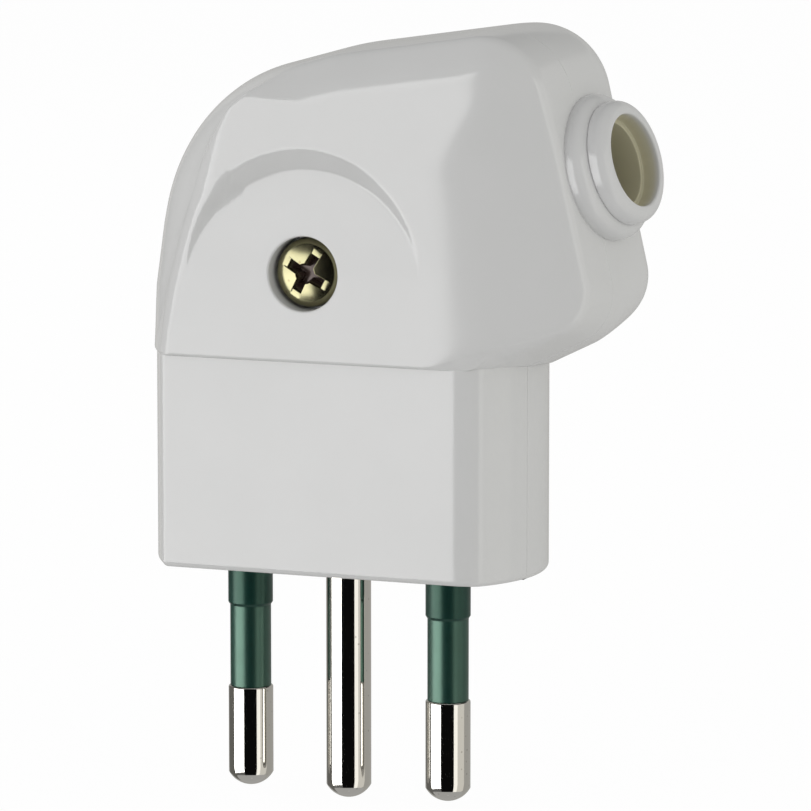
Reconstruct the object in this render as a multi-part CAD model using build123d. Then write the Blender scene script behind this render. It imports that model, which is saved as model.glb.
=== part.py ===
from build123d import *
import math
import os

os.makedirs("parts", exist_ok=True)

# Angled rewirable mains plug: two moulded covers closed by one screw, three round pins in line
# Millimetres, +Z away from the pins, +X towards the cord outlet, -Y towards the screw side
# The origin is the centre of the engagement face, on the earth pin's axis

# Pins
pin_pitch = 9.5
pin_d = 4.0
pin_reach = 20.8
earth_reach = 21.2
tip_height = 1.2
tip_end_d = 1.6
pin_core_d = 2.7
earth_neck_d = 3.4
sleeve_reach = 11.7
sleeve_d = 3.66
collar_reach = 4.35
collar_d = 4.0
collar_bevel = 0.25

# Terminals on the inner ends of the pins
pillar_width = 6.2
pillar_height = 9.6
wire_bore_d = 3.2
wire_bore_depth = 5.6
terminal_screw_d = 2.9
terminal_screw_length = 4.4
terminal_screw_up = 7.0
terminal_screw_proud = 1.5
slot_width = 0.7
slot_depth = 0.8

# Lower block of the housing, seen from the engagement face
block_height = 18.9
block_left = 17.7
block_right = 18.15
block_half_depth = 8.3
block_flat_left = 14.2
block_flat_right = 12.6
block_corner_in = 2.6
block_corner_back = 0.8
block_edge_round = 0.9
foot_bevel = 0.5

# Head of the housing, its widest outline as six walls with rounded corners
head_left_x = -17.8
head_left_angle = 173.8
head_brow_z = 45.78
head_brow_angle = 105.5
head_top_z = 46.0
head_top_angle = 98.4
head_right_x = 33.9
head_right_angle = 13.0
head_under_x = 19.2
head_under_angle = -63.8
shoulder_round = 15.7
brow_round = 20.0
crest_round = 6.8
heel_round = 5.5

# Depth of the head: swollen side walls from the widest plane to a rim, then a gentle dome
head_half_depth = 8.7
rim_drop = 1.7
rim_in_left = 2.3
rim_lean_left = 8.0
rim_in_top = 0.5
rim_in_right = 2.8
rim_in_under = 1.7
dome_left = 1.2
dome_top = 4.0
dome_right = 19.9
dome_lean_right = 13.0
dome_under = 2.6
rear_dome = 3.0
side_steps = (0.0, 0.4, 0.7, 0.9)
dome_steps = (0.12, 0.3, 0.5, 0.75, 1.0)
rear_side_steps = (0.0, 0.6, 0.9)
rear_dome_steps = (0.25, 1.0)

# Moulding
wall = 2.2
floor_thickness = 2.4
parting_y = -2.5
fit = 0.05
seat_gap = 0.1
flat_count = 2

# Thumb hollow round the cover screw
hollow_radius = 10.9
hollow_depth = 1.05
hollow_slope = 65.0

# Cover screw and its bosses
screw_x = -0.7
screw_z = 26.7
screw_head_d = 5.3
screw_head_height = 2.0
screw_head_round = 0.9
screw_sunk = 0.8
screw_shank_d = 3.0
screw_tip_y = 4.6
screw_recess_depth = 1.1
screw_recess_width = 0.85
screw_recess_span = 3.2
screw_turn = 61.0
counterbore_d = 6.5
boss_wall = 1.4

# Cord outlet and the bush in it
outlet_in = 9.4
outlet_z = 36.3
outlet_lift = 15.0
bush_d = 12.8
bush_out = 1.0
bush_mouth_d = 10.7
bush_neck_d = 10.0
bush_neck_width = 0.5
bush_mouth_out = 2.75
bush_bead_round = 0.9
bush_mouth_round = 0.7
bush_bore_d = 8.4
bush_throat_d = 7.4
bush_bore_depth = 1.7
bush_groove_d = 10.4
bush_groove_in = 3.6
bush_groove_width = 1.8
bush_flange_width = 1.4
web_half_height = 8.6

# Cord clamp
clamp_in = 13.0
clamp_span = 12.8
clamp_width = 6.0
clamp_thickness = 1.8
clamp_clear = 0.7
clamp_post_d = 6.0
clamp_screw_d = 2.6
clamp_screw_head_d = 4.6
clamp_screw_head_height = 1.2
clamp_screw_length = 7.5
clamp_bed_y = 3.0

# Ribs that keep the pins in their seats
rib = 1.2
stop_thickness = 1.5
tongue_hold = 0.6


def wall_corners(insets, leans):
    # Corner points of the head's outline with each wall moved in by its own inset and leaned by its own angle
    walls = [
        (head_left_x, block_height, head_left_angle),
        (0.0, head_brow_z, head_brow_angle),
        (0.0, head_top_z, head_top_angle),
        (head_right_x, 0.0, head_right_angle),
        (head_under_x, block_height, head_under_angle),
        (0.0, block_height, -90.0),
    ]
    lines = []
    for (x, z, angle), inset, lean in zip(walls, insets, leans):
        nx = math.cos(math.radians(angle - lean))
        nz = math.sin(math.radians(angle - lean))
        lines.append((nx, nz, nx * x + nz * z - inset))
    corners = []
    for one, two in zip(lines, lines[1:] + lines[:1]):
        turn = one[0] * two[1] - two[0] * one[1]
        x = (one[2] * two[1] - two[2] * one[1]) / turn
        z = (one[0] * two[2] - two[0] * one[2]) / turn
        corners.append((x, z))
    return corners


def rounded_line(points, radii, flats=0):
    # Straight runs joined by rounds: each an arc tangent to its two runs, or that many flats along it
    points = [Vector(*point) for point in points]
    edges = []
    start = points[0]
    for before, corner, after, radius in zip(points, points[1:], points[2:], radii):
        arrive = (corner - before).normalized()
        leave = (after - corner).normalized()
        turn = math.radians(arrive.get_angle(leave))
        enter = corner - arrive * (radius * math.tan(turn / 2))
        depart = corner + leave * (radius * math.tan(turn / 2))
        edges.append(Line(start, enter))
        if radius > 0:
            middle = corner + (leave - arrive).normalized() * (radius / math.cos(turn / 2) - radius)
            curve = ThreePointArc(enter, middle, depart)
            steps = [curve @ (step / flats) for step in range(flats + 1)] if flats else []
            edges.extend(Polyline(*steps).edges() if flats else [curve])
        start = depart
    edges.append(Line(start, points[-1]))
    return edges


def head_outline(station):
    # Corner points of the head at one depth, and the radii that round them
    y, left, top, right, under, lean_left, lean_right = station
    insets = (left, top, top, right, under, 0.0)
    leans = (lean_left, 0.0, 0.0, lean_right, 0.0, 0.0)
    shoulder, brow, crest, heel, under_end, left_end = wall_corners(insets, leans)
    radii = [
        max(shoulder_round - min(left, top), 1.0),
        brow_round - top,
        max(crest_round - min(top, right), 1.0),
        max(heel_round - min(right, under), 1.0),
    ]
    points = [(x, y, z) for x, z in (left_end, shoulder, brow, crest, heel, under_end)]
    return points, radii


def head_section(station):
    # Face of the head at one depth
    points, radii = head_outline(station)
    return make_face(rounded_line(points, radii) + [Line(points[-1], points[0])])


def head_station(side, depth_share, dome_share):
    # Depth, wall insets and leans, from the widest plane to the rim and from the rim to the outer face
    rim_y = head_half_depth - rim_drop
    rims = (rim_in_left, rim_in_top, rim_in_right, rim_in_under)
    domes = (dome_left, dome_top, dome_right, dome_under) if side < 0 else (rear_dome,) * 4
    y = depth_share * rim_y + rim_drop * (1.0 - (1.0 - dome_share) ** 2)
    insets = [depth_share**2 * rim + dome_share * dome for rim, dome in zip(rims, domes)]
    lean_right = dome_share * dome_lean_right if side < 0 else 0.0
    return (side * y, *insets, depth_share**2 * rim_lean_left, lean_right)


def head_half(side, depth_shares, dome_shares):
    # Half of the head: a skin ruled between outlines, out along the side walls and in over the dome
    stations = [head_station(side, share, 0.0) for share in depth_shares]
    stations += [head_station(side, 1.0, share) for share in dome_shares]
    return loft([head_section(station) for station in stations], ruled=True)


def block_plan():
    # Plan of the lower block: flat front and rear, ends swollen like a barrel
    half_d = block_half_depth
    left_x = -block_left + block_corner_in
    right_x = block_right - block_corner_in
    end_y = half_d - block_corner_back
    front = Line((-block_flat_left, -half_d), (block_flat_right, -half_d))
    sweep = TangentArc((block_flat_right, -half_d), (right_x, -end_y), tangent=(1, 0))
    right = ThreePointArc((right_x, -end_y), (block_right, 0), (right_x, end_y))
    rear_right = Line((right_x, end_y), (block_flat_left, half_d))
    rear = Line((block_flat_left, half_d), (-block_flat_left, half_d))
    rear_left = Line((-block_flat_left, half_d), (left_x, end_y))
    left = ThreePointArc((left_x, end_y), (-block_left, 0), (left_x, -end_y))
    front_left = Line((left_x, -end_y), (-block_flat_left, -half_d))
    plan = make_face([front, sweep, right, rear_right, rear, rear_left, left, front_left])
    return fillet(plan.vertices(), block_edge_round)


def y_rod(x, z, diameter, y_from, y_to):
    # Round rod along Y
    rod = Cylinder(diameter / 2, y_to - y_from, rotation=(90, 0, 0))
    return Pos(x, (y_from + y_to) / 2, z) * rod


def z_rod(x, y, diameter, z_from, z_to):
    # Round rod along Z
    return Pos(x, y, (z_from + z_to) / 2) * Cylinder(diameter / 2, z_to - z_from)


def span_box(x_range, y_range, z_range):
    # Box between limits
    size = [r[1] - r[0] for r in (x_range, y_range, z_range)]
    middle = [(r[0] + r[1]) / 2 for r in (x_range, y_range, z_range)]
    return Pos(*middle) * Box(*size)


pins_x = {"line": -pin_pitch, "earth": 0.0, "neutral": pin_pitch}
far = 2 * (block_height + head_top_z)
lift = math.radians(outlet_lift)
outlet_x = head_right_x - outlet_in
outlet = Plane((outlet_x, 0, outlet_z), x_dir=(0, 1, 0), z_dir=(math.cos(lift), 0, math.sin(lift))).location

# Housing as one form, then its hollow
block = extrude(block_plan(), block_height)
block = chamfer(block.faces().sort_by(Axis.Z)[0].edges(), foot_bevel)
head = head_half(-1, side_steps, dome_steps) + head_half(1, rear_side_steps, rear_dome_steps)
body = head + block
chamber_block = extrude(offset(block_plan(), -wall), block_height + wall)
chamber_block -= span_box((-far, far), (-far, far), (-far, floor_thickness))
chamber_depth = head_half_depth - wall
chamber_rims = [wall + rim for rim in (rim_in_left, rim_in_top, rim_in_right, rim_in_under)]
chamber_points, chamber_radii = head_outline((-chamber_depth, *chamber_rims, rim_lean_left, 0.0))
chamber_line = FilletPolyline(*chamber_points, radius=chamber_radii)
chamber_face = make_face([*chamber_line.edges(), Line(chamber_points[-1], chamber_points[0])])
chamber = extrude(chamber_face, 2 * chamber_depth, dir=(0, 1, 0)) + chamber_block

# Thumb hollow: a shallow curved floor inside a coned edge, fading out level with the screw
front_y = -head_half_depth
hollow_top = screw_z + hollow_radius
floor_top = (front_y + hollow_depth, hollow_top)
floor_curve = TangentArc((front_y, screw_z), floor_top, tangent=(0, 1))
floor_sides = Polyline(floor_top, (-far, hollow_top), (-far, screw_z), (front_y, screw_z))
floor_face = Plane.YZ * make_face([floor_curve, floor_sides])
edge_slope = math.tan(math.radians(hollow_slope))
edge_y = front_y + hollow_radius / edge_slope
edge_face = make_face(Polyline((0, edge_y), (edge_slope * (edge_y + far), -far), (0, -far), close=True))
hollow = Pos(-far, 0, 0) * extrude(floor_face, 2 * far)
hollow = hollow & (Pos(screw_x, 0, screw_z) * revolve(edge_face, Axis.Y))
body = body - hollow

# Shell with the screw boss, the bush web, the pin partitions and the shelf over the terminals
inner_y = head_half_depth - wall / 2
boss_d = counterbore_d + 2 * boss_wall
stop_z = floor_thickness + pillar_height + seat_gap
stop_y = wire_bore_d / 2 + rib / 2
web_s = bush_groove_in + bush_groove_width / 2
shell = body - chamber
shell += y_rod(screw_x, screw_z, boss_d, -inner_y, inner_y)
web = outlet * Pos(0, 0, -web_s) * Box(far, 2 * web_half_height, bush_groove_width - 2 * fit)
shell += web & body
shelf = span_box((-far, far), (stop_y, far), (stop_z, stop_z + stop_thickness))
shell += shelf & block
for side in (-1, 1):
    x = side * pin_pitch / 2
    partition = span_box((x - rib / 2, x + rib / 2), (parting_y, far), (floor_thickness / 2, stop_z))
    shell += partition & block

# Openings through the shell
seat_y = front_y + screw_sunk + screw_head_height
screw_hole_d = screw_shank_d + 2 * fit
shell -= y_rod(screw_x, screw_z, counterbore_d, -far, seat_y)
shell -= y_rod(screw_x, screw_z, screw_hole_d, seat_y - wall, screw_tip_y + seat_gap)
bush_reach = bush_groove_in + bush_groove_width + bush_flange_width
shell -= outlet * Pos(0, 0, far / 2 - bush_groove_in) * Cylinder(bush_d / 2 + fit, far)
shell -= outlet * Pos(0, 0, -web_s) * Cylinder(bush_groove_d / 2 + fit, 2 * bush_groove_width)
relief = bush_flange_width + seat_gap
shell -= outlet * Pos(0, 0, -bush_reach + (relief / 2 - seat_gap)) * Cylinder(bush_d / 2 + fit, relief)
seats = {"line": collar_d, "earth": earth_neck_d, "neutral": collar_d}
for name, x in pins_x.items():
    slot_d = seats[name] + 2 * fit
    shell -= z_rod(x, 0, slot_d, -floor_thickness, 2 * floor_thickness)
    mouth = ((x - slot_d / 2, x + slot_d / 2), (parting_y, 0), (-floor_thickness, 2 * floor_thickness))
    shell -= span_box(*mouth)

# Front cover: tongues close the open sides of the pin slots
front_cover = shell & span_box((-far, far), (-far, parting_y), (-far, far))
for name, x in pins_x.items():
    half = seats[name] / 2 - fit
    reach = (parting_y - wall / 2, -seats[name] * tongue_hold / 2)
    tongue = span_box((x - half, x + half), reach, (0, floor_thickness))
    front_cover += tongue - z_rod(x, 0, seats[name] + 2 * fit, -floor_thickness, 2 * floor_thickness)

# Rear cover: posts and a bed for the cord clamp
rear_cover = shell & span_box((-far, far), (parting_y, far), (-far, far))
clamp_seat_y = wall + clamp_clear + clamp_screw_head_height + clamp_thickness - head_half_depth
bed_half = clamp_span / 2
bed = outlet * Pos((clamp_bed_y + inner_y) / 2, 0, -clamp_in)
rear_cover += bed * Box(inner_y - clamp_bed_y, 2 * bed_half, 2 * rib)
clamp_tip_y = clamp_seat_y - clamp_thickness + clamp_screw_length
for side in (-1, 1):
    spot = outlet * Pos(0, side * clamp_span / 2, -clamp_in)
    x = spot.position.X
    z = spot.position.Z
    rear_cover += y_rod(x, z, clamp_post_d, clamp_seat_y, inner_y)
for side in (-1, 1):
    spot = outlet * Pos(0, side * clamp_span / 2, -clamp_in)
    bore = (clamp_seat_y - wall, clamp_tip_y + seat_gap)
    rear_cover -= y_rod(spot.position.X, spot.position.Z, clamp_screw_d + 2 * fit, *bore)

# Cover screw with a domed head and a cross recess
head_y = seat_y - screw_head_height
screw_profile = [
    (0, screw_tip_y - seat_y),
    (screw_shank_d / 2, screw_tip_y - seat_y),
    (screw_shank_d / 2, 0),
    (screw_head_d / 2, 0),
    (screw_head_d / 2, -screw_head_height),
    (0, -screw_head_height),
]
screw_edges = rounded_line(screw_profile, [0, 0, 0, screw_head_round], flat_count)
screw_face = make_face(screw_edges + [Line(screw_profile[-1], screw_profile[0])])
cover_screw = Pos(screw_x, seat_y, screw_z) * revolve(screw_face, Axis.Y)
for turn in (screw_turn, screw_turn + 90):
    arm = Rot(0, turn, 0) * Box(screw_recess_span, 2 * screw_recess_depth, screw_recess_width)
    cover_screw -= Pos(screw_x, head_y, screw_z) * arm

# Pins: turned shanks, each with a square terminal on the inner end that can't turn between the ribs
pillar_top = floor_thickness + pillar_height
terminal_z = floor_thickness + terminal_screw_up
tip_radius = (pin_d**2 / 4 + tip_height**2) / (2 * tip_height)
tip_from = math.asin(tip_end_d / 2 / tip_radius)
tip_to = math.asin(pin_d / 2 / tip_radius)
pins = {}
for name, x in pins_x.items():
    reach = earth_reach if name == "earth" else pin_reach
    turns = [tip_from + (tip_to - tip_from) * step / flat_count for step in range(flat_count + 1)]
    rises = [tip_radius * (math.cos(tip_from) - math.cos(turn)) for turn in turns]
    tip = [(tip_radius * math.sin(turn), rise - reach) for turn, rise in zip(turns, rises)]
    end = [(0, floor_thickness), (0, -reach)]
    waist = [(pin_d / 2, -sleeve_reach), (pin_core_d / 2, -sleeve_reach), (pin_core_d / 2, floor_thickness)]
    neck = [(pin_d / 2, 0), (earth_neck_d / 2, 0), (earth_neck_d / 2, floor_thickness)]
    shank = neck if name == "earth" else waist
    pin = revolve(Plane.XZ * make_face(Polyline(*tip, *shank, *end, close=True)), Axis.Z)
    half = pillar_width / 2
    pin += span_box((-half, half), (-half, half), (floor_thickness, pillar_top))
    pin -= z_rod(0, 0, wire_bore_d, pillar_top - wire_bore_depth, pillar_top + wall)
    pin -= y_rod(0, terminal_z, terminal_screw_d + 2 * fit, -pillar_width, 0)
    pins[name] = Pos(x, 0, 0) * pin

# Insulating sleeves on the two current pins, with a thicker collar by the housing
sleeve_profile = Polyline(
    (pin_core_d / 2 + fit, -sleeve_reach),
    (sleeve_d / 2, -sleeve_reach),
    (sleeve_d / 2, -collar_reach),
    (collar_d / 2, collar_bevel - collar_reach),
    (collar_d / 2, floor_thickness),
    (pin_core_d / 2 + fit, floor_thickness),
    close=True,
)
sleeve = revolve(Plane.XZ * make_face(sleeve_profile), Axis.Z)

# Terminal screws with a driving slot
screw_front = -pillar_width / 2 - terminal_screw_proud
terminal_screw = y_rod(0, terminal_z, terminal_screw_d, screw_front, screw_front + terminal_screw_length)
terminal_screw -= Pos(0, screw_front, terminal_z) * Box(pillar_width, 2 * slot_depth, slot_width)
terminal_screws = Compound([Pos(x, 0, 0) * terminal_screw for x in pins_x.values()])

# Cord clamp bar and its two screws
bar_place = outlet * Pos(clamp_seat_y, 0, -clamp_in) * Rot(0, -90, 0) * Rot(0, 0, 90)
cord_clamp = bar_place * extrude(SlotCenterToCenter(clamp_span, clamp_width), clamp_thickness)
bar_y = clamp_seat_y - clamp_thickness
clamp_screws = []
for side in (-1, 1):
    spot = (outlet * Pos(0, side * clamp_span / 2, -clamp_in)).position
    cord_clamp -= y_rod(spot.X, spot.Z, clamp_screw_d + 2 * seat_gap, bar_y - wall, clamp_seat_y + wall)
    cap = y_rod(spot.X, spot.Z, clamp_screw_head_d, bar_y - clamp_screw_head_height, bar_y)
    cap -= Pos(spot.X, bar_y - clamp_screw_head_height, spot.Z) * Box(clamp_width, 2 * slot_depth, slot_width)
    clamp_screws.append(cap + y_rod(spot.X, spot.Z, clamp_screw_d, bar_y, clamp_tip_y))
cord_clamp_screws = Compound(clamp_screws)

# Cord bush: inner flange, groove for the web, and two beads outside the wall
bush_points = [
    (bush_throat_d / 2, -bush_reach),
    (bush_d / 2, -bush_reach),
    (bush_d / 2, -bush_groove_in - bush_groove_width),
    (bush_groove_d / 2, -bush_groove_in - bush_groove_width),
    (bush_groove_d / 2, -bush_groove_in),
    (bush_d / 2, -bush_groove_in),
    (bush_d / 2, bush_out),
    (bush_neck_d / 2, bush_out),
    (bush_neck_d / 2, bush_out + bush_neck_width),
    (bush_mouth_d / 2, bush_out + bush_neck_width),
    (bush_mouth_d / 2, bush_mouth_out),
    (bush_bore_d / 2, bush_mouth_out),
    (bush_bore_d / 2, bush_mouth_out - bush_bore_depth),
    (bush_throat_d / 2, bush_mouth_out - bush_bore_depth),
]
bush_rounds = [0, 0, 0, 0, 0, bush_bead_round, 0, 0, 0, bush_mouth_round, 0, 0]
bush_edges = rounded_line(bush_points, bush_rounds, flat_count)
bush_face = make_face(bush_edges + [Line(bush_points[-1], bush_points[0])])
cord_bush = outlet * revolve(Plane.XZ * bush_face, Axis.Z)

nodes = {
    "front_cover": front_cover,
    "rear_cover": rear_cover,
    "cover_screw": cover_screw,
    "line_pin": pins["line"],
    "neutral_pin": pins["neutral"],
    "earth_pin": pins["earth"],
    "line_pin_sleeve": Pos(pins_x["line"], 0, 0) * sleeve,
    "neutral_pin_sleeve": Pos(pins_x["neutral"], 0, 0) * sleeve,
    "terminal_screws": terminal_screws,
    "cord_clamp": cord_clamp,
    "cord_clamp_screws": cord_clamp_screws,
    "cord_bush": cord_bush,
}
for name, shape in nodes.items():
    export_step(shape, f"parts/{name}.step")
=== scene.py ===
import math
import bmesh
import bpy
import numpy as np
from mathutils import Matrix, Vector


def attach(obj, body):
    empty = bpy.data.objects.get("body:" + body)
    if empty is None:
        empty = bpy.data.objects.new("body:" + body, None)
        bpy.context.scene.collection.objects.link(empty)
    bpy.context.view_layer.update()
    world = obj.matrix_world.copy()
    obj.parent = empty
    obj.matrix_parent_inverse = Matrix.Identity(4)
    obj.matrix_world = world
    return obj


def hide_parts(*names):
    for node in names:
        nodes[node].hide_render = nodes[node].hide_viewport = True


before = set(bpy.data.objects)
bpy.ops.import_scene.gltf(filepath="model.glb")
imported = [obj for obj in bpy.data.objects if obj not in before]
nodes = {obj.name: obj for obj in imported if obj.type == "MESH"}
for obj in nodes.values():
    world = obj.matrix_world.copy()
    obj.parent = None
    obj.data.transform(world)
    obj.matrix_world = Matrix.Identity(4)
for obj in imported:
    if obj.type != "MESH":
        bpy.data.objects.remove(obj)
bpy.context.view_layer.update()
scene = bpy.context.scene
mm = 0.001
print("frame loaded:", len(nodes), "nodes")


# small helpers

def newObject(name, data):
    obj = bpy.data.objects.new(name, data)
    scene.collection.objects.link(obj)
    return obj


def shadeSmooth(mesh):
    mesh.polygons.foreach_set("use_smooth", [True] * len(mesh.polygons))


def meshFrom(name, verts, faces):
    mesh = bpy.data.meshes.new(name)
    mesh.from_pydata([tuple(v) for v in verts], [], faces)
    mesh.validate()
    shadeSmooth(mesh)
    mesh.update()
    return mesh


def settle(obj):
    # live modifiers become plain mesh
    graph = bpy.context.evaluated_depsgraph_get()
    mesh = bpy.data.meshes.new_from_object(obj.evaluated_get(graph))
    obj.modifiers.clear()
    obj.data = mesh


def finishPiece(obj, material, slotName, *replaced):
    obj.data.materials.clear()
    obj.data.materials.append(material)
    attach(obj, "root")
    if replaced:
        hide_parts(*replaced)


def gridFaces(rows, cols, closed):
    # quads of a grid of points, row after row
    faces = []
    for k in range(rows - 1):
        here, above = k * cols, (k + 1) * cols
        for i in range(cols if closed else cols - 1):
            j = (i + 1) % cols
            faces.append((here + i, here + j, above + j, above + i))
    return faces


def cubicRound(before, corner, after, radius, steps):
    # cubic round between two straight runs, points from run to run
    arrive = (corner - before) / np.linalg.norm(corner - before)
    leave = (after - corner) / np.linalg.norm(after - corner)
    turn = math.acos(float(np.clip(arrive @ leave, -1, 1)))
    handle = radius * math.tan(turn / 4) * 4 / 3
    enter = corner - arrive * radius * math.tan(turn / 2)
    depart = corner + leave * radius * math.tan(turn / 2)
    first = enter + arrive * handle
    second = depart - leave * handle
    t = np.linspace(0, 1, steps)[:, None]
    rest = 1 - t
    return enter * rest ** 3 + 3 * first * t * rest ** 2 + 3 * second * t ** 2 * rest + depart * t ** 3


def roundedRun(points, radii, steps):
    # open line with its inner corners rounded
    corners = [np.array(point, float) for point in points]
    turns = zip(corners, corners[1:], corners[2:], radii)
    bends = [cubicRound(before, corner, after, radius, steps) for before, corner, after, radius in turns]
    return np.concatenate([corners[0][None], *bends, corners[-1][None]])


# shader tools

def shaderTree(name):
    mat = bpy.data.materials.new(name)
    mat.use_nodes = True
    tree = mat.node_tree
    bsdf = tree.nodes["Principled BSDF"]
    return mat, tree, bsdf


def addNode(tree, kind, **values):
    # a value goes to the node's own setting, or else to its input of that name
    node = tree.nodes.new(kind)
    for key, value in values.items():
        if hasattr(node, key):
            setattr(node, key, value)
        else:
            node.inputs[key.replace("_", " ")].default_value = value
    return node


def makeGroup(name, inputs, outputs):
    group = bpy.data.node_groups.new(name, "ShaderNodeTree")
    for label, kind, value in inputs:
        sock = group.interface.new_socket(label, in_out="INPUT", socket_type=kind)
        if value is not None:
            sock.default_value = value
    for label, kind in outputs:
        group.interface.new_socket(label, in_out="OUTPUT", socket_type=kind)
    return group, group.nodes.new("NodeGroupInput"), group.nodes.new("NodeGroupOutput")


def mouldGrainGroup():
    # faint flow clouding and a fine spark-eroded skin
    group, gin, gout = makeGroup(
        "mouldGrain",
        [
            ("Coords", "NodeSocketVector", None),
            ("Cloud Scale", "NodeSocketFloat", 90.0),
            ("Skin Scale", "NodeSocketFloat", 3200.0),
        ],
        [("Cloud", "NodeSocketFloat"), ("Skin", "NodeSocketFloat")],
    )
    cloud = addNode(group, "ShaderNodeTexNoise", Detail=4.0, Roughness=0.55)
    skin = addNode(group, "ShaderNodeTexNoise", Detail=2.0, Roughness=0.5)
    link = group.links.new
    for noise, label in ((cloud, "Cloud"), (skin, "Skin")):
        link(gin.outputs["Coords"], noise.inputs["Vector"])
        link(gin.outputs[label + " Scale"], noise.inputs["Scale"])
        link(noise.outputs["Fac"], gout.inputs[label])
    return group


def turnedMetalGroup():
    # lathe rings along the axis and scattered specks
    group, gin, gout = makeGroup(
        "turnedMetal",
        [
            ("Coords", "NodeSocketVector", None),
            ("Ring Scale", "NodeSocketFloat", 1600.0),
            ("Speck Scale", "NodeSocketFloat", 700.0),
        ],
        [("Rings", "NodeSocketFloat"), ("Specks", "NodeSocketFloat"), ("Haze", "NodeSocketFloat")],
    )
    link = group.links.new
    squash = addNode(group, "ShaderNodeVectorMath", operation="MULTIPLY")
    squash.inputs[1].default_value = (0.04, 0.04, 1.0)
    rings = addNode(group, "ShaderNodeTexNoise", Detail=3.0)
    specks = addNode(group, "ShaderNodeTexVoronoi")
    cut = addNode(group, "ShaderNodeMapRange", From_Min=0.05, From_Max=0.16, To_Min=1.0, To_Max=0.0)
    haze = addNode(group, "ShaderNodeTexNoise", Scale=260.0, Detail=5.0)
    link(gin.outputs["Coords"], squash.inputs[0])
    link(squash.outputs["Vector"], rings.inputs["Vector"])
    link(gin.outputs["Ring Scale"], rings.inputs["Scale"])
    link(gin.outputs["Coords"], specks.inputs["Vector"])
    link(gin.outputs["Speck Scale"], specks.inputs["Scale"])
    link(specks.outputs["Distance"], cut.inputs["Value"])
    link(gin.outputs["Coords"], haze.inputs["Vector"])
    link(rings.outputs["Fac"], gout.inputs["Rings"])
    link(cut.outputs["Result"], gout.inputs["Specks"])
    link(haze.outputs["Fac"], gout.inputs["Haze"])
    return group


mouldGrain = mouldGrainGroup()
turnedMetal = turnedMetalGroup()


def useGroup(tree, group, **values):
    node = tree.nodes.new("ShaderNodeGroup")
    node.node_tree = group
    coords = tree.nodes.new("ShaderNodeTexCoord")
    tree.links.new(coords.outputs["Object"], node.inputs["Coords"])
    for key, value in values.items():
        node.inputs[key.replace("_", " ")].default_value = value
    return node


def ramp(tree, source, low, high, fromMin=0.3, fromMax=0.7):
    node = addNode(tree, "ShaderNodeMapRange", From_Min=fromMin, From_Max=fromMax, To_Min=low, To_Max=high)
    tree.links.new(source, node.inputs["Value"])
    return node.outputs["Result"]


def blendColour(tree, factor, one, two):
    # each of the two is a colour or a socket that gives one
    node = tree.nodes.new("ShaderNodeMix")
    node.data_type = "RGBA"
    tones = [sock for sock in node.inputs if sock.type == "RGBA"]
    for sock, tone in zip(tones, (one, two)):
        if isinstance(tone, tuple):
            sock.default_value = (*tone, 1)
        else:
            tree.links.new(tone, sock)
    tree.links.new(factor, node.inputs["Factor"])
    return next(sock for sock in node.outputs if sock.type == "RGBA")


def bumpFrom(tree, bsdf, height, strength, distance):
    node = addNode(tree, "ShaderNodeBump", Strength=strength, Distance=distance)
    tree.links.new(height, node.inputs["Height"])
    tree.links.new(node.outputs["Normal"], bsdf.inputs["Normal"])


def attributeMask(tree, name):
    node = tree.nodes.new("ShaderNodeAttribute")
    node.attribute_name = name
    return node.outputs["Fac"]


def mouldedPlastic(name, look):
    mat, tree, bsdf = shaderTree(name)
    grain = useGroup(tree, mouldGrain, Cloud_Scale=look["cloudScale"], Skin_Scale=look["skinScale"])
    cloud = grain.outputs["Cloud"]
    colour = blendColour(tree, ramp(tree, cloud, 0.0, 1.0), look["light"], look["shade"])
    tree.links.new(colour, bsdf.inputs["Base Color"])
    tree.links.new(ramp(tree, cloud, *look["rough"]), bsdf.inputs["Roughness"])
    bumpFrom(tree, bsdf, grain.outputs["Skin"], look["skin"], look["skinDepth"])
    bsdf.inputs["IOR"].default_value = look["ior"]
    return mat, tree, bsdf


def platedMetal(name, look):
    mat, tree, bsdf = shaderTree(name)
    wearAndShade = useGroup(tree, turnedMetal, Ring_Scale=look["ringScale"], Speck_Scale=look["speckScale"])
    spots = ramp(tree, wearAndShade.outputs["Specks"], 0.0, look["speck"], 0.0, 1.0)
    tree.links.new(blendColour(tree, spots, look["light"], look["dark"]), bsdf.inputs["Base Color"])
    tree.links.new(ramp(tree, wearAndShade.outputs["Haze"], *look["rough"]), bsdf.inputs["Roughness"])
    bumpFrom(tree, bsdf, wearAndShade.outputs["Rings"], look["ring"], look["ringDepth"])
    bsdf.inputs["Metallic"].default_value = 1.0
    return mat, tree, bsdf


# finishes, with scales per metre and depths in metres

shellLook = {
    "light": (0.690, 0.690, 0.686), "shade": (0.675, 0.676, 0.671), "cloudScale": 110.0,
    "skinScale": 2600.0, "skin": 0.05, "skinDepth": 0.00002, "rough": (0.12, 0.16), "ior": 1.5,
}
bushLook = {
    "light": (0.676, 0.676, 0.674), "shade": (0.655, 0.657, 0.654), "cloudScale": 260.0,
    "skinScale": 2600.0, "skin": 0.03, "skinDepth": 0.00002, "rough": (0.14, 0.18), "ior": 1.5,
    # the bore colour is khaki painted shade for the inside of the bush's bore
    "bore": (0.58, 0.55, 0.40),
}
sleeveLook = {
    "light": (0.004, 0.031, 0.025), "shade": (0.003, 0.025, 0.020), "cloudScale": 700.0,
    "skinScale": 5200.0, "skin": 0.12, "skinDepth": 0.00003, "rough": (0.30, 0.36), "ior": 1.9,
    "sheen": (0.62, 1.0, 0.78), "shankLevel": 0.5, "collarLevel": 0.25,
    "collarFrom": -0.00435, "collarFade": 0.0001,
}
clampLook = {
    "light": (0.55, 0.55, 0.53), "shade": (0.50, 0.50, 0.48), "cloudScale": 200.0,
    "skinScale": 2600.0, "skin": 0.1, "skinDepth": 0.00003, "rough": (0.35, 0.45), "ior": 1.5,
}
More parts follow.
